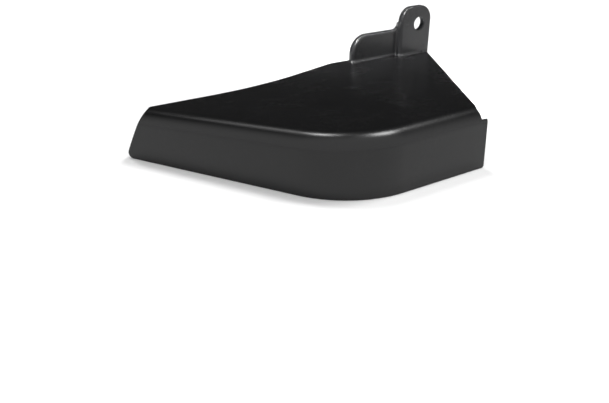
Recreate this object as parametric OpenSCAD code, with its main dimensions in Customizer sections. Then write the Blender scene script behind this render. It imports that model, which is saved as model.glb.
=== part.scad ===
// Corner mud flap: a thin moulded shell with a skirt on two sides, held by one bolt through an upright tab.
// The frame is the mounting hole's: X runs along the tab and the side wall, Y points inboard and Z is up.
// Positions in the sections below are measured from the skirt's sharp front corner and its bottom edge.

/* [Skirt] */
// Length of the side wall along its bottom edge, from the sharp front corner
side_wall_len = 98; // [92:1:108]
// Length of the front wall along its bottom edge, from the sharp front corner
front_wall_len = 156; // [148:1:165]
// Angle that the skirt turns through at the front corner
corner_turn = 60; // [56:1:64]
// Outside radius of the front corner, seen from above
corner_r = 60; // [50:1:70]
// Height of the skirt at the side wall, from its bottom edge to the panel's top
skirt_h = 37.4; // [36:0.2:40]
// Rake of the front wall's free end, in degrees from upright
end_rake = 25; // [20:1:26]
// Turn of the free end's cut, seen from above, towards the rear edge
end_skew = 12; // [8:1:15]
// Radius at the bottom corner of the free end
toe_r = 4.5; // [3:0.5:8]
// Length of the lip, the low wall that runs past the panel at the side wall's end
lip_len = 4.5; // [3:0.5:6]
// Height of the lip
lip_h = 31; // [29:0.5:31.5]

/* [Panel] */
// Wall thickness of the moulding
sheet_t = 3; // [2.5:0.25:4]
// Outside radius of the rounded top edge
edge_r = 10; // [8:0.5:12]
// Fall of the panel towards its rear edge, in degrees
panel_fall = 2.5; // [2:0.25:3]
// Depth of the panel at the strip behind the tab
panel_depth = 155; // [153:0.5:158]
// Depth of the panel at the hollow in its rear edge
hollow_depth = 129; // [126:1:132]
// Where the hollow in the rear edge starts, along the side wall's direction
hollow_x = -25; // [-30:1:-20]
// Radius of the hollow in the rear edge
hollow_r = 250; // [230:10:270]
// Slope of the rear edge between the hollow and the strip behind the tab
ramp_angle = 18.5; // [17:0.5:20]
// Direction of the panel's free side edge, from the side wall's direction
side_edge_angle = 57.5; // [56:0.5:59]

/* [Tab] */
// Thickness of the tab
tab_t = 5; // [4:0.5:5]
// Depth at which the lug's front face stands
lug_y = 141; // [140:0.5:142]
// Left end of the shelf
shelf_x = 108; // [106:0.5:111]
// Left edge of the lug
lug_left = 151; // [150:0.5:152]
// Right edge of the lug
lug_right = 181; // [180.5:0.5:182]
// Height of the shelf's top
shelf_top = 50.5; // [48:0.5:51]
// Height of the lug's top
lug_top = 68; // [67:0.5:69]
// Corner radius of the shelf
shelf_corner_r = 14; // [10:1:15]
// Corner radius of the lug
lug_corner_r = 11; // [9:0.5:12]
// Radius of the notch between the shelf's top and the lug
notch_r = 5; // [3:0.5:6]
// Radius of the fillet along the tab's root
root_r = 2; // [1:0.5:3]

/* [Bolt hole] */
// Clearance hole for an M10 bolt
bolt_d = 10.5; // [10.5:0.5:11]
// Outside diameter of the steel bush
bush_d = 15; // [14:0.5:16]
// Thickness of the plastic left in front of the bush
bush_cover = 1.2; // [0.8:0.1:2]
// Distance from the hole's centre to the lug's right edge
hole_to_edge = 12; // [12:0.5:13]
// Distance from the hole's centre to the lug's top
hole_to_top = 13.6; // [12.6:0.2:14]

/* [Ribs and gussets] */
// Thickness of the ribs and gussets
rib_t = 2.4; // [2:0.2:3]
// Depth of the ribs under the panel
rib_h = 8; // [5:0.5:10]
// Height of the gussets behind the tab
gusset_h = 13; // [8:1:15]

/* [Hidden] */
$fn = 96;
reach = 300;      // longer than any side of the part: the size of the cutting blocks
slab_run = 190;   // how far the raw panel and walls run before they are trimmed
below = 12;       // how far the raw walls run below the bottom edge before they are trimmed
plastic = "#26272a";

wall_angle = 180 - corner_turn;
corner_run = corner_r * tan(corner_turn / 2);
panel_end_x = side_wall_len - lip_len;
side_edge_x = lug_right - 1.5;
side_edge_y = lug_y - (side_edge_x - panel_end_x) * tan(side_edge_angle);
end_corner_x = -0.43 * front_wall_len;       // left of where the rear edge meets the front wall's free end
lug_back = lug_y + tab_t;
shelf_back = lug_back + tab_t;
hole_x = lug_right - hole_to_edge;
hole_z = lug_top - hole_to_top;
gusset_x = [shelf_x + 8, shelf_x + 24, shelf_x + 40];
rib_x = [10, 48, 86];                 // three ribs under the panel, left to right
rib_start = [edge_r + 4, edge_r, edge_r];
rib_end = [hollow_depth, lug_y - 6, lug_y];

// Height of the panel's top at a depth y
function panel_top(y) = skirt_h / cos(panel_fall) - y * tan(panel_fall);

// From the skirt's front corner to the frame at the mounting hole
module at_hole() {
    translate([-hole_x, -lug_back, -hole_z]) children();
}

// The panel's own tilt
module tilted() {
    rotate([-panel_fall, 0, 0]) children();
}

// A solid drawn as a plan outline, extruded between two heights
module plan_block(z0, z1) {
    translate([0, 0, z0]) linear_extrude(z1 - z0) children();
}

// Section of the wall, the rounded edge and the panel: x runs inboard from the wall's face and y is up
module wall_section(panel_run) {
    shoulder = skirt_h - edge_r;
    translate([0, -below]) square([sheet_t, shoulder + below]);
    translate([edge_r, skirt_h - sheet_t]) square([panel_run, sheet_t]);
    intersection() {
        difference() {
            translate([edge_r, shoulder]) circle(edge_r);
            translate([edge_r, shoulder]) circle(edge_r - sheet_t);
        }
        translate([0, shoulder]) square(edge_r);
    }
}

// Half of the untrimmed moulding: from the middle of the round front corner to beyond the side wall's end.
// Its origin is the centre of the round, and Y runs along the corner's bisector
module half_moulding() {
    difference() {
        rotate([0, 0, corner_turn / 2]) {
            translate([0, -corner_r, 0]) rotate([90, 0, 90]) linear_extrude(slab_run) wall_section(slab_run);
            mirror([1, 0, 0]) rotate([0, 0, -90]) rotate_extrude(angle = corner_turn)
                translate([corner_r, 0]) mirror([1, 0]) wall_section(corner_r - edge_r);
        }
        translate([-2 * reach, -reach, -reach]) cube(2 * reach);
    }
}

// The two walls and the panel, before their ends and edges are cut
module raw_moulding() {
    translate([corner_run, corner_r, 0]) rotate([0, 0, -corner_turn / 2]) {
        half_moulding();
        mirror([1, 0, 0]) half_moulding();
    }
}

// Plan of what lies behind the rear edge: a straight run, a round hollow, a ramp and the strip behind the tab
module behind_rear_edge() {
    intersection() {
        translate([hollow_x, hollow_depth + hollow_r]) rotate(ramp_angle / 2)
            for (side = [0, 1]) mirror([side, 0]) rotate(ramp_angle / 2) {
                circle(hollow_r, $fn = 360);
                translate([0, -hollow_r]) square(reach);
            }
        translate([end_corner_x, 0]) square(2 * reach);
    }
    translate([hollow_x, panel_depth]) square(reach);
}

// Everything past the panel's free side edge, sparing the lip
module past_side_edge() {
    far = slab_run / tan(side_edge_angle);
    plan_block(-2 * below, reach) polygon([
        [panel_end_x, side_edge_y - 1], [panel_end_x, side_edge_y], [side_edge_x + far, lug_y + slab_run],
        [reach * 2, lug_y + slab_run], [reach * 2, side_edge_y - 1]
    ]);
    translate([panel_end_x, -below, lip_h]) cube([reach, below + side_edge_y, reach]);
    translate([side_wall_len, -below, -2 * below]) cube([reach, below + side_edge_y, reach]);
}

// Everything past the raked free end of the front wall, with its rounded toe
module past_front_end() {
    toe_run = toe_r * tan(45 + end_rake / 2);
    wide = 2 * toe_r;
    rotate([0, 0, wall_angle]) translate([front_wall_len, 0, 0]) rotate([90, 0, end_skew])
        linear_extrude(2 * reach, center = true) translate([-toe_run, toe_r]) {
            rotate(end_rake) translate([toe_r, -reach]) square(2 * reach);
            difference() {
                polygon([[0, 0], [0, -wide], [wide, -wide], wide * [cos(end_rake), sin(end_rake)]]);
                circle(toe_r);
            }
        }
}

// An upright plate drawn from the front, with its front face at depth y
module upright_plate(y) {
    translate([0, y + tab_t, 0]) rotate([90, 0, 0]) linear_extrude(tab_t) children();
}

// Front view of the shelf: round at its outer end, with a hollow that rises behind the lug, and then the lap
module shelf_front() {
    notch_end = lug_left - shelf_x + notch_r / 2;
    lap_end = notch_end + notch_r;
    square([lap_end, shelf_top - shelf_corner_r]);
    translate([shelf_corner_r, 0]) square([lap_end - shelf_corner_r, shelf_top]);
    translate([shelf_corner_r, shelf_top - shelf_corner_r]) circle(shelf_corner_r);
    translate([notch_end, shelf_top]) {
        difference() {
            translate([-notch_r, -1]) square([notch_r, notch_r + 1]);
            translate([-notch_r, notch_r]) circle(notch_r);
        }
        intersection() {
            circle(notch_r);
            translate([0, -1]) square(2 * notch_r);
        }
    }
}

// Front view of the lug, with two round top corners
module lug_front() {
    wide = lug_right - lug_left;
    square([wide, lug_top - lug_corner_r]);
    translate([lug_corner_r, 0]) square([wide - 2 * lug_corner_r, lug_top]);
    for (x = [lug_corner_r, wide - lug_corner_r]) translate([x, lug_top - lug_corner_r]) circle(lug_corner_r);
}

// Keeps only what stands on the panel's top face
module above_panel() {
    intersection() {
        children();
        tilted() translate([-reach, -reach, skirt_h]) cube(2 * reach);
    }
}

// Concave fillet between the panel and an upright face at depth y
module root_fillet(x0, x1, y) {
    translate([x0, y, panel_top(y)]) rotate([90, 0, 90]) linear_extrude(x1 - x0)
        difference() {
            translate([-root_r, -1]) square([root_r + 0.5, root_r + 1]);
            translate([-root_r, root_r]) circle(root_r, $fn = 32);
        }
}

// Moulded skin: the panel, its rounded edge and the skirt
module guard_shell() {
    color(plastic) at_hole() difference() {
        tilted() raw_moulding();
        plan_block(-reach, 0) square(4 * reach, center = true);
        plan_block(-1, reach) behind_rear_edge();
        past_side_edge();
        past_front_end();
    }
}

// Upright tab: a low shelf and, one thickness forward of it, the taller lug with the bolt hole
module mounting_tab() {
    color(plastic) at_hole() difference() {
        above_panel() {
            upright_plate(lug_back) translate([shelf_x, 0]) shelf_front();
            upright_plate(lug_y) translate([lug_left, 0]) lug_front();
            root_fillet(shelf_x, lug_left, lug_back);
            root_fillet(lug_left, side_edge_x, lug_y);
        }
        hole_axis() cylinder(d = bolt_d, h = 4 * tab_t, center = true);
        hole_axis() translate([0, 0, -1]) cylinder(d = bush_d, h = tab_t - bush_cover + 1);
    }
}

// Puts z = 0 on the lug's back face at the bolt hole, with z pointing forward through the lug
module hole_axis() {
    translate([hole_x, lug_back, hole_z]) rotate([90, 0, 0]) children();
}

// Steel sleeve let into the lug from behind, flush with its back face
module bolt_bush() {
    color("#3a3b3d") at_hole() hole_axis() difference() {
        cylinder(d = bush_d, h = tab_t - bush_cover);
        translate([0, 0, -1]) cylinder(d = bolt_d, h = tab_t + 1);
    }
}

// Small webs between the shelf's back face and the panel's rear strip
module tab_gussets() {
    foot = panel_depth - shelf_back - 0.5;
    color(plastic) at_hole() above_panel()
        for (x = gusset_x) translate([x - rib_t / 2, shelf_back, panel_top(shelf_back)])
            rotate([90, 0, 90]) linear_extrude(rib_t)
                polygon([[0, -1], [foot, -1], [foot, 1], [0, gusset_h]]);
}

// Extrudes a plan from the ribs' lower edges up to the panel's underside
module under_panel() {
    tilted() plan_block(skirt_h - sheet_t - rib_h, skirt_h - sheet_t) children();
}

// Rib under the panel, straight below the tab's root
module root_rib() {
    color(plastic) at_hole() under_panel()
        translate([shelf_x, lug_back - rib_t / 2]) square([side_edge_x - shelf_x, rib_t]);
}

// Three ribs from near the skirt to near the panel's rear edge
module panel_ribs() {
    color(plastic) at_hole() under_panel()
        for (i = [0 : len(rib_x) - 1])
            translate([rib_x[i] - rib_t / 2, rib_start[i]]) square([rib_t, rib_end[i] - rib_start[i]]);
}

guard_shell();
mounting_tab();
bolt_bush();
tab_gussets();
root_rib();
panel_ribs();
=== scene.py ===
"""Looks of the corner mud flap: refined meshes, materials, floor, lights and camera.

Lengths are millimetres, measured as in the CAD source: from the skirt's sharp front corner and bottom edge,
X along the side wall, Y inboard, Z up. to_metres() moves them to the frame at the mounting hole.
"""

import math

import bmesh
import bpy
import numpy as np
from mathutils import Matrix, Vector
from mathutils.geometry import delaunay_2d_cdt


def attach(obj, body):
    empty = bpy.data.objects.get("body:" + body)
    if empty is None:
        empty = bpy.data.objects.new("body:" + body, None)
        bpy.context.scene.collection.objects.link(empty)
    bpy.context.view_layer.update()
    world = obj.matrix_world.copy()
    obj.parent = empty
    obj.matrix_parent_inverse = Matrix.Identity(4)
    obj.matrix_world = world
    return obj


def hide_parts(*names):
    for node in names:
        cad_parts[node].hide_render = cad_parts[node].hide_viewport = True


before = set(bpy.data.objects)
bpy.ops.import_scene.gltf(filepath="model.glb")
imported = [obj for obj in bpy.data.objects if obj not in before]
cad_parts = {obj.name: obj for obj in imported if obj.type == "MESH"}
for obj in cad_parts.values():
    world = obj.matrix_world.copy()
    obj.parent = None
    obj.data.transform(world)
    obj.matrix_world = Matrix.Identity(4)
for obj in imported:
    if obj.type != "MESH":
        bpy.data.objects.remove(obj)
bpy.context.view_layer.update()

# ---------------------------------------------------------------- sizes
HOLE = np.array([169.0, 146.0, 54.4])   # the frame's origin: the hole's axis at the lug's back face
FALL = math.radians(2.5)                # the panel's fall towards its rear edge
TURN = math.radians(60)                 # what the skirt turns through at the front corner
CORNER_R = 60.0
SKIRT_H = 37.4
EDGE_R = 10.0
SHEET = 3.0
RIM_R = 0.35                            # rounding of the moulding's cut edges
RIM_BAND = 1.2                          # a row of points this far inside the rim keeps the painted edge highlight and wear narrow
PANEL_DEPTH = 155.0
HOLLOW_Y, HOLLOW_X, HOLLOW_R = 129.0, -25.0, 250.0
RAMP = math.radians(18.5)
SIDE_EDGE = math.radians(57.5)
SIDE_EDGE_START = np.array([94.1, 6.95])
WALL_END_X = 98.7
LIP_H = 31.0
LIP_STEP_R, LIP_TOP_R, LIP_FOOT_R = 0.8, 0.9, 1.6   # roundings of the outline at the lip
TOE_R, END_TOP_R = 4.5, 6.0             # at the foot and the top of the free end
STRIP_R, STRIP_END_R = 14.0, 1.6        # at both ends of the strip behind the tab
END_START, END_LEAN, END_BOW, END_TURN = 155.4, 0.476, 0.0021, 0.21   # the free end: see free_end()
RIB_T, RIB_H = 2.4, 8.0

ARC = CORNER_R * TURN                   # length of the round corner along the wall's face
RUN = CORNER_R * math.tan(TURN / 2)     # from the sharp corner to the start of the round
W1 = SKIRT_H - EDGE_R                   # section length at the foot of the rounded edge
W2 = W1 + EDGE_R * math.pi / 2          # and at its top, where the flat panel starts
SIDE_REACH, REAR_REACH = 12, 26         # how far the walls' unrolled ends reach into the flat panel
OUTLINE_STEP, LIP_STEP, END_STEP = 1.5, 0.25, 1.0   # point spacing along the outline
WALL_STEP, PANEL_STEP = 2.5, 6.0        # and in the meshes of the walls and the panel
PANEL_X, PANEL_Y = (-70, 190), (8, 156)             # a box round the flat panel
WALL_GAP, SEAM_GAP = 0.5, 1.2           # inner points keep away from the walls' outline and the seam's ends
RIM_ANGLES = np.radians([22.5, 45, 67.5, 90])       # one row of points for each, round the rim's quarter
COS_F, SIN_F = math.cos(FALL), math.sin(FALL)


def tilt(p):
    """Leans points or directions of the untilted moulding by the panel's fall."""
    p = np.asarray(p, float)
    x, y, z = p[..., 0], p[..., 1], p[..., 2]
    return np.stack([x, y * COS_F + z * SIN_F, z * COS_F - y * SIN_F], -1)


def to_metres(p):
    return (np.asarray(p, float) - HOLE) / 1000


# ---------------------------------------------------------------- the moulding's surface
def wall_path(u):
    """Foot of the wall at length u along its face, its inboard and its onward direction.

    u is 0 where the round corner starts and grows towards the front wall."""
    u = np.asarray(u, float)
    a = np.clip(u / CORNER_R, 0, TURN)
    inboard = np.stack([np.sin(a), np.cos(a)], -1)
    onward = np.stack([-np.cos(a), np.sin(a)], -1)
    past = np.where(u < 0, u, np.maximum(u - ARC, 0))[..., None]
    return np.array([RUN, CORNER_R]) - CORNER_R * inboard + past * onward, inboard, onward


def skin(u, w, depth=0.0):
    """Point and outward normal of the moulding, depth below its face, at u along the wall and w up it."""
    u, w = np.asarray(u, float), np.asarray(w, float)
    foot, inboard, _ = wall_path(u)
    a = np.clip((w - W1) / EDGE_R, 0, math.pi / 2)
    d = EDGE_R - (EDGE_R - depth) * np.cos(a) + np.maximum(w - W2, 0)
    z = W1 + (EDGE_R - depth) * np.sin(a) + np.minimum(w - W1, 0)
    z = z + bottom_lift(u, w, depth)
    point = np.concatenate([foot + d[..., None] * inboard, z[..., None]], -1)
    normal = np.concatenate([-np.cos(a)[..., None] * inboard, np.sin(a)[..., None]], -1)
    return point, normal


def foot_height(u):
    """Height of the level bottom edge in the untilted moulding."""
    return wall_path(u)[0][..., 1] * math.tan(FALL)


def bottom_lift(u, w, depth):
    """Keeps the bottom rim level right through the leaning wall."""
    _, inboard, _ = wall_path(u)
    share = np.clip((W1 - w) / (W1 - foot_height(u)), 0, 1)
    return share * depth * inboard[..., 1] * math.tan(FALL)


def section_tangent(u, w):
    """Direction in which w grows on the outer face."""
    _, inboard, _ = wall_path(u)
    a = np.clip((w - W1) / EDGE_R, 0, math.pi / 2)
    return np.concatenate([np.sin(a)[..., None] * inboard, np.cos(a)[..., None]], -1)


def face_section(w):
    """How far inboard and how high the outer face is at w up its section."""
    a = np.clip((w - W1) / EDGE_R, 0, math.pi / 2)
    inboard = EDGE_R - EDGE_R * np.cos(a) + np.maximum(w - W2, 0)
    height = W1 + EDGE_R * np.sin(a) + np.minimum(w - W1, 0)
    return inboard, height


def flat_y(world_y):
    """Depth in the untilted moulding of a point on the panel's top at a true depth."""
    return (world_y - SKIRT_H * SIN_F) / COS_F


# ---------------------------------------------------------------- outline of the moulding
def resample(line, step):
    """The line with evenly spaced points, about a step apart."""
    line = np.asarray(line, float)
    run = np.r_[0, np.cumsum(np.linalg.norm(np.diff(line, axis=0), axis=1))]
    at = np.linspace(0, run[-1], max(2, int(round(run[-1] / step)) + 1))
    return np.stack([np.interp(at, run, line[:, k]) for k in (0, 1)], -1)


def cut_back(line, length):
    """The line without its last length, and its direction there."""
    run = np.r_[0, np.cumsum(np.linalg.norm(np.diff(line, axis=0), axis=1))]
    end = max(run[-1] - length, 0.05 * run[-1])
    p = np.array([np.interp(end, run, line[:, k]) for k in (0, 1)])
    kept = line[run < end - 1e-6]
    way = p - kept[-1]
    return np.vstack([kept, p]), way / np.linalg.norm(way)


def join(first, second, radius, steps=8):
    """Two lines that meet at a corner, joined by a round of that radius."""
    first, second = np.asarray(first, float), np.asarray(second, float)
    a, b = first[-1] - first[-2], second[1] - second[0]
    turn = abs(math.atan2(a[0] * b[1] - a[1] * b[0], a @ b))
    trim = radius * math.tan(turn / 2)
    head, out = cut_back(first, trim)
    tail, into = cut_back(second[::-1], trim)
    handle = 4 / 3 * math.tan(turn / 4) * radius
    p = [head[-1], head[-1] + handle * out, tail[-1] + handle * into, tail[-1]]
    t = np.linspace(0, 1, steps + 1)[1:-1, None]
    arc = (1 - t) ** 3 * p[0] + 3 * t * (1 - t) ** 2 * p[1] + 3 * t ** 2 * (1 - t) * p[2] + t ** 3 * p[3]
    return np.vstack([head, arc, tail[::-1]])


def free_end(w):
    """Length u of the front wall's free end at w: it leans back, more so near its top.

    Each round puts the last length's height into the curve of the end, and it settles in a few rounds."""
    d, z = face_section(w)
    s = np.full_like(w, END_START)
    for _ in range(8):
        y = s * math.sin(TURN) + d * math.cos(TURN)
        height = z * COS_F - y * SIN_F
        s = END_START - END_LEAN * height - END_BOW * height ** 2 + END_TURN * d
    return ARC + s - RUN


def rear_run(w):
    """Length u of the straight rear edge at w."""
    d, z = face_section(w)
    y = (HOLLOW_Y - z * SIN_F) / COS_F
    return ARC + (y - d * math.cos(TURN)) / math.sin(TURN) - RUN


def side_end_x(w):
    """Where the panel's side edge cuts the side wall's rounded edge at w."""
    d, z = face_section(w)
    y = d * COS_F + z * SIN_F
    return SIDE_EDGE_START[0] + np.maximum(y - SIDE_EDGE_START[1], 0) / math.tan(SIDE_EDGE)


def wall_outline():
    """The outline on the unrolled walls (u, w), and the point on the panel's side edge where it starts.

    It runs down the side wall's end, along the foot and up the free end to the rear edge."""
    lip_w = W1 + EDGE_R * math.asin((LIP_H / COS_F - W1) / EDGE_R)
    up = np.linspace(W2 + SIDE_REACH, lip_w, 60)
    edge = np.stack([RUN - side_end_x(up), up], -1)
    lip = resample([edge[-1], [RUN - WALL_END_X, lip_w]], LIP_STEP)
    end = resample([lip[-1], [RUN - WALL_END_X, 0.0]], END_STEP)
    ws = np.linspace(0, W2, 200)
    reach = free_end(ws)
    first = np.argmax(ws > foot_height(reach))
    us = np.r_[np.arange(RUN - WALL_END_X, reach[first] - 0.5, OUTLINE_STEP), reach[first]]
    bottom = np.stack([us, foot_height(us)], -1)
    free = np.stack([reach[first:-1], ws[first:-1]], -1)
    free[0] = bottom[-1]
    back = np.linspace(W2, W2 + REAR_REACH, 120)
    rear = np.stack([rear_run(back), back], -1)
    rear[0] = free[-1]
    line = join(edge, lip, LIP_STEP_R, 5)
    line = join(line, end, LIP_TOP_R, 6)
    line = join(line, bottom, LIP_FOOT_R, 7)
    line = join(line, free, TOE_R, 12)
    return join(line, rear, END_TOP_R, 14), edge[0]


def outline():
    """The moulding's outline: the unrolled walls (u, w), then the rest of the panel in plan (x, y)."""
    line, side_start = wall_outline()
    foot, inboard, _ = wall_path(line[-1:, 0])
    seam = (foot + (EDGE_R + line[-1, 1] - W2) * inboard)[0]
    straight = np.stack([np.linspace(seam[0], HOLLOW_X, 30), np.full(30, HOLLOW_Y)], -1)
    sweep = np.linspace(0, RAMP, 40)[1:]
    hollow = np.stack([HOLLOW_X + HOLLOW_R * np.sin(sweep), HOLLOW_Y + HOLLOW_R * (1 - np.cos(sweep))], -1)
    ramp_x = hollow[-1, 0] + (PANEL_DEPTH - hollow[-1, 1]) / math.tan(RAMP)
    incline = resample([hollow[-1], [ramp_x, PANEL_DEPTH]], OUTLINE_STEP)
    corner_x = SIDE_EDGE_START[0] + (PANEL_DEPTH - SIDE_EDGE_START[1]) / math.tan(SIDE_EDGE)
    strip = resample([incline[-1], [corner_x, PANEL_DEPTH]], OUTLINE_STEP)
    low_x = RUN - side_start[0]
    low_y = (side_start[1] - W2 + EDGE_R) * COS_F + SKIRT_H * SIN_F
    side = resample([strip[-1], [low_x, low_y]], OUTLINE_STEP)
    plan = np.vstack([straight[1:], hollow, incline[1:]])
    plan = join(join(plan, strip, STRIP_R, 8), side, STRIP_END_R, 8)[:-1]
    plan[:, 1] = flat_y(plan[:, 1])
    return line, plan


def panel_face(plan, depth=0.0):
    """Points and normals of the flat panel, depth below its face."""
    n = len(plan)
    return np.column_stack([plan, np.full(n, SKIRT_H - depth)]), np.tile([0.0, 0.0, 1.0], (n, 1))


def faces_of(walls, plan):
    """Points and normals of an outline on the moulding's outer face."""
    wall_points, wall_normals = skin(walls[:, 0], walls[:, 1])
    plan_points, plan_normals = panel_face(plan)
    return np.vstack([wall_points, plan_points]), np.vstack([wall_normals, plan_normals])


def conormals(points, normals):
    """Directions in the face that point out of it across its outline."""
    along = np.roll(points, -1, 0) - np.roll(points, 1, 0)
    out = np.cross(normals, along)
    return out / np.linalg.norm(out, axis=1)[:, None]


def inset(walls, plan):
    """The outline moved inwards by the rim's rounding."""
    out = conormals(*faces_of(walls, plan))
    n = len(walls)
    onward = np.column_stack([wall_path(walls[:, 0])[2], np.zeros(n)])
    upward = section_tangent(walls[:, 0], walls[:, 1])
    du = (out[:n] * onward).sum(1)
    dw = (out[:n] * upward).sum(1)
    return walls - RIM_R * np.column_stack([du, dw]), plan - RIM_R * out[n:, :2]


def split_at_seam(walls, inner):
    """Adds a point to both outlines wherever the inner one crosses w = W2, and gives those indices."""
    above = inner[:, 1] > W2
    crossings = np.flatnonzero(above[1:] != above[:-1])
    for i in crossings[::-1]:
        t = (W2 - inner[i, 1]) / (inner[i + 1, 1] - inner[i, 1])
        on_inner = inner[i] + t * (inner[i + 1] - inner[i])
        on_inner[1] = W2
        inner = np.insert(inner, i + 1, on_inner, 0)
        walls = np.insert(walls, i + 1, walls[i] + t * (walls[i + 1] - walls[i]), 0)
    start, stop = [i + 1 + k for k, i in enumerate(crossings)]
    return walls, inner, start, stop


def plan_of(uv):
    """Where a point (u, w) of the flat panel lies in plan."""
    foot, inboard, _ = wall_path(uv[:, 0])
    return foot + (EDGE_R + uv[:, 1] - W2)[:, None] * inboard


def inside(outline_points, pts, gap):
    """The points that lie inside the closed outline and further from it than the gap."""
    a, b = outline_points, np.roll(outline_points, -1, 0)
    ab = b - a
    x, y = pts[:, 0, None], pts[:, 1, None]
    crossing = (a[:, 1] > y) != (b[:, 1] > y)
    at = a[:, 0] + (y - a[:, 1]) * ab[:, 0] / np.where(ab[:, 1] == 0, 1e-9, ab[:, 1])
    odd = (crossing & (x < at)).sum(1) % 2 == 1
    t = ((x - a[:, 0]) * ab[:, 0] + (y - a[:, 1]) * ab[:, 1]) / np.maximum((ab ** 2).sum(1), 1e-12)
    t = np.clip(t, 0, 1)
    far = np.hypot(x - a[:, 0] - t * ab[:, 0], y - a[:, 1] - t * ab[:, 1]).min(1)
    return pts[odd & (far > gap)]


def triangles(outline_points, outline_ids, extra, first_id):
    """Triangles between a closed outline and the extra points inside it, as lists of vertex ids."""
    pts = [Vector(map(float, p)) for p in np.vstack([outline_points, extra])]
    ids = list(outline_ids) + list(range(first_id, first_id + len(extra)))
    ring = list(range(len(outline_points)))
    _, _, faces, origin, _, _ = delaunay_2d_cdt(pts, [], [ring], 1, 1e-7)
    return [[ids[origin[v][0]] for v in f] for f in faces]


def grid_points(first_axis, second_axis):
    return np.stack(np.meshgrid(first_axis, second_axis, indexing="ij"), -1).reshape(-1, 2)


def near_outline(line):
    """A row of points on each side of a closed line, RIM_BAND away from it."""
    along = np.roll(line, -1, 0) - np.roll(line, 1, 0)
    across = np.column_stack([-along[:, 1], along[:, 0]]) / np.linalg.norm(along, axis=1)[:, None]
    return np.vstack([line[::2] + RIM_BAND * across[::2], line[::2] - RIM_BAND * across[::2]])


def shell_mesh():
    """The whole moulding as one closed mesh with rounded rims, and a normal for each vertex.

    Each face is two patches, the walls unrolled and the panel in plan, which share the seam w = W2."""
    walls, plan = outline()
    rim_walls, rim_plan = inset(walls, plan)
    walls, rim_walls, start, stop = split_at_seam(walls, rim_walls)
    points, normals = faces_of(walls, plan)
    out = conormals(points, normals)
    n_walls, count = len(walls), len(points)

    all_u = np.r_[np.arange(-25 * WALL_STEP, 0, WALL_STEP), np.linspace(0, ARC, 43),
                  np.arange(ARC + WALL_STEP, ARC + 50 * WALL_STEP, WALL_STEP)]
    seam_u = all_u[(all_u > rim_walls[start, 0] + SEAM_GAP) & (all_u < rim_walls[stop, 0] - SEAM_GAP)]
    seam = np.column_stack([seam_u, np.full(len(seam_u), W2)])
    seam_ids = list(range(count, count + len(seam)))

    band_outline = np.vstack([rim_walls[start:stop + 1], seam[::-1]])
    band_ids = list(range(start, stop + 1)) + seam_ids[::-1]
    rows_w = np.r_[np.linspace(WALL_STEP, W1, 7), np.linspace(W1, W2, 25)[1:-1]]
    band_extra = inside(band_outline, grid_points(all_u, rows_w), WALL_GAP)
    band_first = count + len(seam)
    tris = triangles(band_outline, band_ids, band_extra, band_first)

    flat_outline = np.vstack([plan_of(rim_walls[stop:]), rim_plan, plan_of(rim_walls[:start + 1]),
                              plan_of(seam)])
    flat_ids = list(range(stop, count)) + list(range(start + 1)) + seam_ids
    flat_grid = grid_points(np.arange(*PANEL_X, PANEL_STEP), np.arange(*PANEL_Y, PANEL_STEP))
    flat_extra = np.vstack([inside(flat_outline, near_outline(flat_outline), 0.9 * RIM_BAND),
                            inside(flat_outline, flat_grid, PANEL_STEP / 2)])
    tris += triangles(flat_outline, flat_ids, flat_extra, band_first + len(band_extra))

    def side(depth):
        """Points and outward normals of one face of the sheet, in the order of the vertex ids."""
        parts = [skin(rim_walls[:, 0], rim_walls[:, 1], depth), panel_face(rim_plan, depth),
                 skin(seam[:, 0], seam[:, 1], depth), skin(band_extra[:, 0], band_extra[:, 1], depth),
                 panel_face(flat_extra, depth)]
        return np.vstack([p for p, _ in parts]), np.vstack([n for _, n in parts])

    outer, n_outer = side(0.0)
    inner, n_inner = side(SHEET)
    size = len(outer)
    verts, vert_normals = [outer, inner], [n_outer, -n_inner]
    rows = [list(range(count))]
    next_id = 2 * size
    for outer_half, order in ((True, RIM_ANGLES), (False, RIM_ANGLES[::-1])):
        for a in order:
            hub_depth = RIM_R if outer_half else SHEET - RIM_R
            lean = math.cos(a) if outer_half else -math.cos(a)
            way = math.sin(a) * out + lean * normals
            row = points - RIM_R * out - hub_depth * normals + RIM_R * way
            depth = RIM_R * (1 - math.cos(a))
            depth = depth if outer_half else SHEET - depth
            row[:n_walls, 2] += bottom_lift(walls[:, 0], walls[:, 1], depth)
            verts.append(row)
            vert_normals.append(way)
            rows.append(list(range(next_id, next_id + count)))
            next_id += count
    rows.append(list(range(size, size + count)))

    faces = []
    for f in tris:
        a, b, c = (outer[i] for i in f)
        if np.cross(b - a, c - a) @ n_outer[f[0]] < 0:
            f = f[::-1]
        faces.append(f)
        faces.append([i + size for i in f[::-1]])
    for r, s in zip(rows[:-1], rows[1:]):
        for i in range(count):
            j = (i + 1) % count
            faces.append([r[i], r[j], s[j], s[i]])
    return tilt(np.vstack(verts)), tilt(np.vstack(vert_normals)), faces


# ---------------------------------------------------------------- the tab as one blended solid
def rounded_cut(a, b, r):
    """Distance to the overlap of two bodies whose common edge is rounded by r."""
    return np.where((a > -r) & (b > -r), np.hypot(a + r, b + r) - r, np.maximum(a, b))


def filleted_sum(a, b, r):
    """Distance to two bodies together, with a fillet of radius r where they meet."""
    u, v = np.maximum(r - a, 0), np.maximum(r - b, 0)
    return np.maximum(r, np.minimum(a, b)) - np.hypot(u, v)


def plate_outline(x, z, x0, x1, top, left_r, right_r):
    """Distance to a plate seen from the front, with two round top corners and an endless foot."""
    cx, half = (x0 + x1) / 2, (x1 - x0) / 2
    r = np.where(x < cx, left_r, right_r)
    qx, qz = np.abs(x - cx) - half + r, z - top + r
    return np.minimum(np.maximum(qx, qz), 0) + np.hypot(np.maximum(qx, 0), np.maximum(qz, 0)) - r


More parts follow.
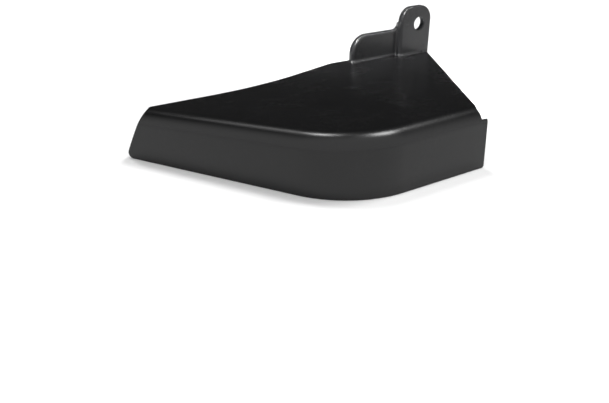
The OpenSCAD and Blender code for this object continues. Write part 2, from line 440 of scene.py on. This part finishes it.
LUG_Y, LUG_BACK, SHELF_BACK = 141.0, 146.0, 151.0
SHELF_X, LUG_LEFT, LUG_RIGHT = 107.8, 151.0, 181.5
SHELF_TOP, LUG_TOP = 50.6, 68.0
SHELF_CORNER_R, LUG_CORNER_R, NOTCH_R, ROOT_R = 14.0, 11.0, 5.0, 2.0
FRONT_R, BACK_R, CREASE_R = 2.0, 0.8, 2.2
LAP_END = LUG_LEFT + 1.6 * NOTCH_R      # where the shelf ends behind the lug
NOTCH_SWEEP = 0.6                       # how far the notch's round runs behind the lug, per mm of depth
BOLT_R, BUSH_R, BUSH_COVER = 5.25, 7.5, 1.2
PAD_TOP, PAD_FOOT = SKIRT_H - 0.05, SKIRT_H - 1.4   # the tab's foot, sunk in the panel
HOLE_EDGE_R = 0.35
NOTCH_DEPTH = 3.0                       # how far the body round the notch reaches down into the shelf
LAP_INSET, LAP_DEPTH = 0.5, 2.0         # the lap starts this far inside the lug's left edge and front face
PAD_INSET, PAD_MARGIN = 0.4, 0.3        # from the panel's edges, and past the fillet round the tab's foot
BUSH_GAP = 0.05
SETTLE_ROUNDS, SETTLE_STEP = 4, 0.2     # how often and how far at most the mesher settles its points
TAB_LOW, TAB_HIGH, TAB_STEP = (104.9, 137.9, 29.9), (184.3, 154.9, 69.3), 0.42   # the mesher's grid


def tab_distance(p):
    """Distance to the tab: the shelf with its notch and lap, the lug, their fillets and the hole."""
    x, y, z = p[..., 0], p[..., 1], p[..., 2]
    high = y * SIN_F + z * COS_F
    shelf = plate_outline(x, z, SHELF_X, LAP_END, SHELF_TOP, SHELF_CORNER_R, 0.01)
    swept = x - LUG_LEFT - NOTCH_SWEEP * (y - LUG_BACK)
    hollow = NOTCH_R - np.hypot(swept + NOTCH_R, z - SHELF_TOP - NOTCH_R)
    notch = np.maximum.reduce([hollow, -NOTCH_R - swept, swept, z - SHELF_TOP - NOTCH_R,
                               SHELF_TOP - NOTCH_DEPTH - z])
    lap_end = np.maximum(np.hypot(swept, z - SHELF_TOP) - NOTCH_R, -swept)
    shelf = np.minimum.reduce([shelf, notch, lap_end])
    front = rounded_cut(rounded_cut(shelf, LUG_BACK - y, FRONT_R), y - SHELF_BACK, BACK_R)
    behind = np.maximum.reduce([shelf, LUG_LEFT + LAP_INSET - x, LUG_Y + LAP_DEPTH - y])
    behind = rounded_cut(behind, y - SHELF_BACK, BACK_R)
    lug = plate_outline(x, z, LUG_LEFT, LUG_RIGHT, LUG_TOP, LUG_CORNER_R, LUG_CORNER_R)
    lug = rounded_cut(rounded_cut(lug, LUG_Y - y, FRONT_R), y - LUG_BACK, BACK_R)
    tab = filleted_sum(np.minimum(front, behind), lug, CREASE_R)
    tab = np.maximum(tab, PAD_FOOT - high)
    foot = np.minimum(np.maximum.reduce([SHELF_X - x, x - LAP_END, LUG_BACK - y, y - SHELF_BACK]),
                      np.maximum.reduce([LUG_LEFT - x, x - LUG_RIGHT, LUG_Y - y, y - LUG_BACK]))
    past_side = ((x - SIDE_EDGE_START[0]) * math.sin(SIDE_EDGE)
                 - (y - SIDE_EDGE_START[1]) * math.cos(SIDE_EDGE) + PAD_INSET)
    pad = np.maximum.reduce([high - PAD_TOP, PAD_FOOT - high, past_side, y - PANEL_DEPTH + PAD_INSET,
                             foot - ROOT_R - PAD_MARGIN])
    tab = filleted_sum(tab, pad, ROOT_R)
    tab = np.maximum(tab, PAD_FOOT - high)
    reach = np.hypot(x - HOLE[0], z - HOLE[2])
    tab = rounded_cut(tab, BOLT_R - reach, HOLE_EDGE_R)
    return np.maximum(tab, np.minimum(BUSH_R - BUSH_GAP - reach, y - LUG_Y - BUSH_COVER))


def slope(distance, p, h=0.02):
    """Unit direction in which a distance grows fastest."""
    g = np.stack([distance(p + h * e) - distance(p - h * e) for e in np.eye(3)], -1)
    return g / np.maximum(np.linalg.norm(g, axis=-1, keepdims=True), 1e-9)


def surface_net(distance, low, high, step):
    """Quad mesh of where distance is zero: one vertex for each grid cell that the surface crosses."""
    axes = [np.arange(a, b + step, step) for a, b in zip(low, high)]
    grid = np.stack(np.meshgrid(*axes, indexing="ij"), -1)
    value = distance(grid)
    corners = [(i, j, k) for i in (0, 1) for j in (0, 1) for k in (0, 1)]
    nx, ny, nz = (n - 1 for n in value.shape)
    block = lambda a, c: a[c[0]:c[0] + nx, c[1]:c[1] + ny, c[2]:c[2] + nz]
    inside = value < 0
    total = sum(block(inside, c).astype(int) for c in corners)
    active = (total > 0) & (total < 8)
    ids = -np.ones(active.shape, int)
    ids[active] = np.arange(active.sum())
    place = np.zeros((active.sum(), 3))
    weight = np.zeros(active.sum())
    for a in corners:
        for k in range(3):
            if a[k]:
                continue
            b = tuple(c + (1 if n == k else 0) for n, c in enumerate(a))
            va, vb = block(value, a)[active], block(value, b)[active]
            hit = (va < 0) != (vb < 0)
            t = va[hit] / (va[hit] - vb[hit])
            pa, pb = block(grid, a)[active][hit], block(grid, b)[active][hit]
            place[hit] += pa + t[:, None] * (pb - pa)
            weight[hit] += 1
    place /= weight[:, None]
    for _ in range(SETTLE_ROUNDS):
        move = np.clip(distance(place), -SETTLE_STEP, SETTLE_STEP)
        place -= move[:, None] * slope(distance, place)
    faces = []
    for k in range(3):
        a, b = [s for s in range(3) if s != k]
        first = [slice(None)] * 3
        second = [slice(None)] * 3
        first[k], second[k] = slice(0, -1), slice(1, None)
        one, two = inside[tuple(first)], inside[tuple(second)]
        for ijk in np.argwhere(one != two):
            if ijk[a] < 1 or ijk[b] < 1 or ijk[a] >= active.shape[a] or ijk[b] >= active.shape[b]:
                continue
            ring = []
            for da, db in ((0, 0), (-1, 0), (-1, -1), (0, -1)):
                c = ijk.copy()
                c[a] += da
                c[b] += db
                ring.append(int(ids[tuple(c)]))
            outwards = one[tuple(ijk)]
            if (k == 1) == bool(outwards):
                ring.reverse()
            faces.append(ring)
    return place, faces


# ---------------------------------------------------------------- objects
SEAM_OVERLAP = 0.4                      # how far ribs reach into the panel and webs into the shelf
RIB_SPANS = [(10.0, 14.0, 129.0), (48.0, 10.0, 135.0), (86.0, 10.0, 141.0)]   # X, start and end in Y
ROOT_RIB_SPAN = (108.0, 179.5)
WEB_X = [116.0, 132.0, 148.0]
WEB_H, WEB_TOE, WEB_SUNK = 12.6, 1.1, 0.6


def add_to_scene(name, mesh):
    obj = bpy.data.objects.new(name, mesh)
    bpy.context.scene.collection.objects.link(obj)
    return obj


def even_normals(obj):
    even = obj.modifiers.new("even_normals", "WEIGHTED_NORMAL")
    even.keep_sharp = True
    return obj


def make_object(name, points, faces, normals=None):
    """A smooth mesh from points in millimetres, with its own vertex normals if they are given."""
    mesh = bpy.data.meshes.new(name)
    mesh.from_pydata([tuple(p) for p in to_metres(points)], [], [list(map(int, f)) for f in faces])
    mesh.polygons.foreach_set("use_smooth", [True] * len(mesh.polygons))
    mesh.update()
    if normals is not None:
        n = np.asarray(normals) / np.linalg.norm(normals, axis=1)[:, None]
        mesh.normals_split_custom_set_from_vertices([tuple(v) for v in n])
    return add_to_scene(name, mesh)


def plate_set(name, outlines, centres, along_x, bevel, leaning):
    """Plates RIB_T thick with rounded edges: each outline is extruded along X or Y about its own centre."""
    bm = bmesh.new()
    for line, centre in zip(outlines, centres):
        rows = []
        for t in (centre - RIB_T / 2, centre + RIB_T / 2):
            corners = [(t, a, z) if along_x else (a, t, z) for a, z in line]
            rows.append([bm.verts.new(c) for c in corners])
        bm.faces.new(rows[0])
        bm.faces.new(rows[1][::-1])
        for i in range(len(line)):
            j = (i + 1) % len(line)
            bm.faces.new([rows[0][j], rows[0][i], rows[1][i], rows[1][j]])
    bmesh.ops.recalc_face_normals(bm, faces=bm.faces)
    sharp = [e for e in bm.edges if e.calc_face_angle(0) > math.radians(30)]
    bmesh.ops.bevel(bm, geom=sharp, offset=bevel, segments=3, profile=0.5, affect="EDGES", clamp_overlap=True)
    mesh = bpy.data.meshes.new(name)
    bm.to_mesh(mesh)
    bm.free()
    points = np.array([v.co for v in mesh.vertices])
    points = to_metres(tilt(points) if leaning else points)
    mesh.vertices.foreach_set("co", points.astype(np.float32).ravel())
    mesh.polygons.foreach_set("use_smooth", [True] * len(mesh.polygons))
    mesh.update()
    return even_normals(add_to_scene(name, mesh))


def lathe(name, profile, steps=128):
    """A ring round the hole's axis from a closed profile of (radius, depth y)."""
    points, faces = [], []
    n = len(profile)
    for i in range(steps):
        a = 2 * math.pi * i / steps
        points += [(HOLE[0] + r * math.cos(a), y, HOLE[2] + r * math.sin(a)) for r, y in profile]
    for i in range(steps):
        k = (i + 1) % steps
        for j in range(n):
            m = (j + 1) % n
            faces.append([i * n + j, i * n + m, k * n + m, k * n + j])
    return even_normals(make_object(name, np.array(points), faces))


def round_corner_profile(corners, r, steps=4):
    """A closed profile with every corner rounded by r."""
    out = []
    n = len(corners)
    for i, c in enumerate(corners):
        c = np.array(c, float)
        a, b = np.array(corners[i - 1], float) - c, np.array(corners[(i + 1) % n], float) - c
        a, b = a / np.linalg.norm(a), b / np.linalg.norm(b)
        for t in np.linspace(0, 1, steps):
            out.append(tuple(c + r * ((1 - t) ** 2 * a + t ** 2 * b)))
    return out


# ---------------------------------------------------------------- materials
CLOUD_SCALE, WAVE_SCALE, HIGHLIGHT_AND_WEAR_SCALE = 28, 95, 160   # noise scales in cells per metre
CLOUD_RANGE, ROUGH_RANGE = (0.45, 0.95), (0.5, 1.0)
HIGHLIGHT_AND_WEAR_EDGE, HIGHLIGHT_AND_WEAR_PATCH = (0.57, 0.66), (0.42, 0.66)  # pointiness and noise between which the lighter edge colour sets in: a painted highlight on the rounded edges, broken into patches like wear
GRAIN_DEPTH = 0.00008
SURFACE_IOR = 1.49


def ramp(tree, source, low, high, a, b):
    """Maps low..high to a..b."""
    n = tree.nodes.new("ShaderNodeMapRange")
    n.inputs["From Min"].default_value, n.inputs["From Max"].default_value = low, high
    n.inputs["To Min"].default_value, n.inputs["To Max"].default_value = a, b
    tree.links.new(source, n.inputs["Value"])
    return n.outputs["Result"]


def noise(tree, coords, scale, detail, rough=0.5):
    n = tree.nodes.new("ShaderNodeTexNoise")
    n.inputs["Scale"].default_value = scale
    n.inputs["Detail"].default_value = detail
    n.inputs["Roughness"].default_value = rough
    tree.links.new(coords, n.inputs["Vector"])
    return n.outputs["Fac"]


def add(tree, a, b, scale):
    """a + b * scale"""
    n = tree.nodes.new("ShaderNodeMath")
    n.operation = "MULTIPLY_ADD"
    tree.links.new(b, n.inputs[0])
    n.inputs[1].default_value = scale
    tree.links.new(a, n.inputs[2])
    return n.outputs[0]


def multiply(tree, a, b):
    n = tree.nodes.new("ShaderNodeMath")
    n.operation = "MULTIPLY"
    tree.links.new(a, n.inputs[0])
    tree.links.new(b, n.inputs[1])
    return n.outputs[0]


def mix(tree, factor, a, b):
    """Mixes two colours; the first may be another node's output."""
    n = tree.nodes.new("ShaderNodeMix")
    n.data_type = "RGBA"
    tree.links.new(factor, n.inputs["Factor"])
    if isinstance(a, tuple):
        n.inputs["A"].default_value = (*a, 1)
    else:
        tree.links.new(a, n.inputs["A"])
    n.inputs["B"].default_value = (*b, 1)
    return n.outputs["Result"]


def surface_material(name, dark, light, edge_highlight_and_wear, rough, grain_scale, grain, metal, specular):
    """Two close tones in soft clouds, a fine grain, and a lighter colour on the sharpest edges in noisy
    patches: partly a painted highlight along the rounded edges, partly wear.
    """
    mat = bpy.data.materials.new(name)
    mat.use_nodes = True
    tree = mat.node_tree
    shader = tree.nodes["Principled BSDF"]
    shader.inputs["Metallic"].default_value = metal
    shader.inputs["IOR"].default_value = SURFACE_IOR
    shader.inputs["Specular IOR Level"].default_value = specular
    coords = tree.nodes.new("ShaderNodeTexCoord").outputs["Object"]
    pointiness = tree.nodes.new("ShaderNodeNewGeometry").outputs["Pointiness"]
    cloud = noise(tree, coords, CLOUD_SCALE, 3)
    fine = noise(tree, coords, grain_scale, 2, 0.6)
    waves = noise(tree, coords, WAVE_SCALE, 2)
    tint = mix(tree, ramp(tree, add(tree, cloud, fine, 0.35), *CLOUD_RANGE, 0, 1), dark, light)
    # painted highlight: the sharpest rounded edges get a lighter colour, in noise patches that also stand for
    # wear
    edge = ramp(tree, pointiness, *HIGHLIGHT_AND_WEAR_EDGE, 0, 1)
    patches = ramp(tree, noise(tree, coords, HIGHLIGHT_AND_WEAR_SCALE, 4, 0.65), *HIGHLIGHT_AND_WEAR_PATCH, 0, 1)
    tree.links.new(mix(tree, multiply(tree, edge, patches), tint, edge_highlight_and_wear), shader.inputs["Base Color"])
    tree.links.new(ramp(tree, add(tree, cloud, fine, 0.5), *ROUGH_RANGE, *rough), shader.inputs["Roughness"])
    bump = tree.nodes.new("ShaderNodeBump")
    bump.inputs["Strength"].default_value = grain
    bump.inputs["Distance"].default_value = GRAIN_DEPTH
    tree.links.new(add(tree, fine, waves, 0.6), bump.inputs["Height"])
    tree.links.new(bump.outputs["Normal"], shader.inputs["Normal"])
    return mat


plastic = surface_material(
    "moulded_black_plastic", dark=(0.0028, 0.0028, 0.0030), light=(0.0044, 0.0044, 0.0047),
    edge_highlight_and_wear=(0.010, 0.010, 0.011), rough=(0.23, 0.29), grain_scale=3800, grain=0.16, metal=0.0, specular=0.40)
# The tab's plastic is the shell's black plastic painted several times lighter, to stand in for the light the
# tab catches. Its stronger grain is its own, and its light edge colour is a painted highlight mixed with
# wear.
grained_plastic_painted_lighter = surface_material(
    "grained_black_plastic_painted_lighter", dark=(0.010, 0.010, 0.0105), light=(0.016, 0.016, 0.017),
    edge_highlight_and_wear=(0.10, 0.10, 0.105), rough=(0.25, 0.31), grain_scale=3000, grain=0.35, metal=0.0, specular=0.40)
steel = surface_material(
    "blackened_steel", dark=(0.010, 0.0105, 0.0115), light=(0.022, 0.023, 0.025),
    edge_highlight_and_wear=(0.10, 0.10, 0.105), rough=(0.30, 0.48), grain_scale=2400, grain=0.3, metal=1.0, specular=0.5)


# ---------------------------------------------------------------- pieces
def stands_for(obj, cad_node, material):
    obj.data.materials.clear()
    obj.data.materials.append(material)
    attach(obj, "root")
    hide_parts(cad_node)


def build_shell():
    points, normals, faces = shell_mesh()
    skin_mesh = make_object("guard_shell_skin", points, faces, normals)
    stands_for(skin_mesh, "guard_shell", plastic)


def build_tab():
    points, faces = surface_net(tab_distance, TAB_LOW, TAB_HIGH, TAB_STEP)
    body = make_object("mounting_tab_body", points, faces, slope(tab_distance, points))
    stands_for(body, "mounting_tab", grained_plastic_painted_lighter)


def build_bush():
    front = LUG_Y + BUSH_COVER
    sleeve = [(BOLT_R, front), (BUSH_R, front), (BUSH_R, LUG_BACK), (BOLT_R, LUG_BACK)]
    ring = lathe("bolt_bush_ring", round_corner_profile(sleeve, 0.3))
    stands_for(ring, "bolt_bush", steel)


def rib_outline(start, end, foot_r=3.0):
    """A rib from the side: square where it meets the panel, with rounded lower ends."""
    top, low = SKIRT_H - SHEET + SEAM_OVERLAP, SKIRT_H - SHEET - RIB_H
    arc = [(math.cos(a), math.sin(a)) for a in np.linspace(0, math.pi / 2, 7)]
    line = [(start, top)]
    line += [(start + foot_r - foot_r * c, low + foot_r - foot_r * s) for c, s in arc]
    line += [(end - foot_r + foot_r * s, low + foot_r - foot_r * c) for c, s in arc]
    return line + [(end, top)]


def build_ribs():
    outlines = [rib_outline(start, end) for _, start, end in RIB_SPANS]
    ribs = plate_set("panel_rib_set", outlines, [x for x, _, _ in RIB_SPANS], True, 0.5, leaning=True)
    stands_for(ribs, "panel_ribs", plastic)


def build_root_rib():
    rib = plate_set("root_rib_bar", [rib_outline(*ROOT_RIB_SPAN)], [LUG_BACK], False, 0.5, leaning=True)
    stands_for(rib, "root_rib", plastic)


def panel_top(y):
    """Height of the panel's top at a depth y."""
    return SKIRT_H / COS_F - y * math.tan(FALL)


def build_webs():
    front, back = SHELF_BACK - SEAM_OVERLAP, PANEL_DEPTH - 0.5
    foot, heel = panel_top(SHELF_BACK), panel_top(back)
    web = [(front, foot - WEB_SUNK), (back, heel - WEB_SUNK), (back, heel + WEB_TOE),
           (SHELF_BACK + SEAM_OVERLAP, foot + WEB_H), (front, foot + WEB_H)]
    webs = plate_set("tab_gusset_webs", [web] * len(WEB_X), WEB_X, True, 0.3, leaning=False)
    stands_for(webs, "tab_gussets", plastic)


build_shell()
build_tab()
build_bush()
build_ribs()
build_root_rib()
build_webs()

# ---------------------------------------------------------------- floor, lights, camera
FLOOR_Z = -HOLE[2] / 1000 - 0.0002      # just under the skirt's bottom edge
PART_MIDDLE = Vector((-0.13, -0.08, -0.02))
TAB_MIDDLE = Vector((-0.024, 0, 0))
BRIGHT_SIDE = (-0.50, -0.86, 0.0)       # where the surroundings are bright
CAMERA_AT = (-0.35683, -0.38393, 0.10370)
CAMERA_AZ, CAMERA_EL = math.radians(-33.263), math.radians(27)
CAMERA_LENS = 37.77


def build_floor():
    bm = bmesh.new()
    bmesh.ops.create_circle(bm, cap_ends=True, radius=6.0, segments=96)
    mesh = bpy.data.meshes.new("studio_floor")
    bm.to_mesh(mesh)
    bm.free()
    paper = bpy.data.materials.new("white_paper")
    paper.use_nodes = True
    shader = paper.node_tree.nodes["Principled BSDF"]
    shader.inputs["Base Color"].default_value = (0.86, 0.86, 0.86, 1)
    shader.inputs["Roughness"].default_value = 0.9
    shader.inputs["Specular IOR Level"].default_value = 0.1
    mesh.materials.append(paper)
    floor = add_to_scene("studio_floor", mesh)
    floor.location = (0, 0, FLOOR_Z)


def build_world():
    """Surroundings that are bright on the camera's side and fade to nearly black on the far side."""
    world = bpy.data.worlds.new("studio")
    bpy.context.scene.world = world
    world.use_nodes = True
    sky = world.node_tree
    background = sky.nodes["Background"]
    background.inputs["Color"].default_value = (1, 1, 1, 1)
    facing = sky.nodes.new("ShaderNodeVectorMath")
    facing.operation = "DOT_PRODUCT"
    sky.links.new(sky.nodes.new("ShaderNodeTexCoord").outputs["Generated"], facing.inputs[0])
    facing.inputs[1].default_value = BRIGHT_SIDE
    strength = ramp(sky, facing.outputs["Value"], -0.20, 0.25, 0.03, 1.25)
    sky.links.new(strength, background.inputs["Strength"])


def softbox(name, direction, distance, width, height, radiance, aim=PART_MIDDLE, spread=math.pi):
    """A rectangular light, distance away from what it is aimed at. A small spread works like a grid."""
    light = bpy.data.lights.new(name, "AREA")
    light.shape = "RECTANGLE"
    light.size, light.size_y = width, height
    light.energy = radiance * math.pi * width * height
    light.spread = spread
    obj = add_to_scene(name, light)
    way = Vector(direction).normalized()
    obj.visible_camera = False
    obj.location = aim + way * distance
    obj.rotation_mode = "QUATERNION"
    obj.rotation_quaternion = way.to_track_quat("Z", "Y")


def build_camera():
    data = bpy.data.cameras.new("camera")
    data.sensor_width = 36.0
    data.lens = CAMERA_LENS
    data.clip_start, data.clip_end = 0.01, 50
    camera = add_to_scene("camera", data)
    bpy.context.scene.camera = camera
    forward = Vector((-math.sin(CAMERA_AZ) * math.cos(CAMERA_EL), math.cos(CAMERA_AZ) * math.cos(CAMERA_EL),
                      -math.sin(CAMERA_EL)))
    camera.location = CAMERA_AT
    camera.rotation_mode = "QUATERNION"
    camera.rotation_quaternion = forward.to_track_quat("-Z", "Y")


build_floor()
build_world()
softbox("back_softbox", (0.06, 0.37, 0.93), 3.0, 0.5, 0.6, 26)
softbox("right_softbox", (0.45, -0.062, 0.89), 3.0, 0.88, 0.7, 23)
softbox("gridded_tab_light", (-0.50, -0.42, 0.76), 0.45, 0.20, 0.18, 1.1,
        aim=TAB_MIDDLE, spread=math.radians(12))
softbox("tab_edge_light", (-0.42, 0.14, 0.90), 0.5, 0.08, 0.18, 3.0,
        aim=TAB_MIDDLE + Vector((0, 0, 0.008)), spread=math.radians(9))
softbox("back_fill", (-0.10, 0.56, 0.83), 3.0, 0.9, 0.5, 2.6)
build_camera()

bpy.context.scene.view_settings.view_transform = "Standard"
bpy.context.scene.view_settings.look = "None"
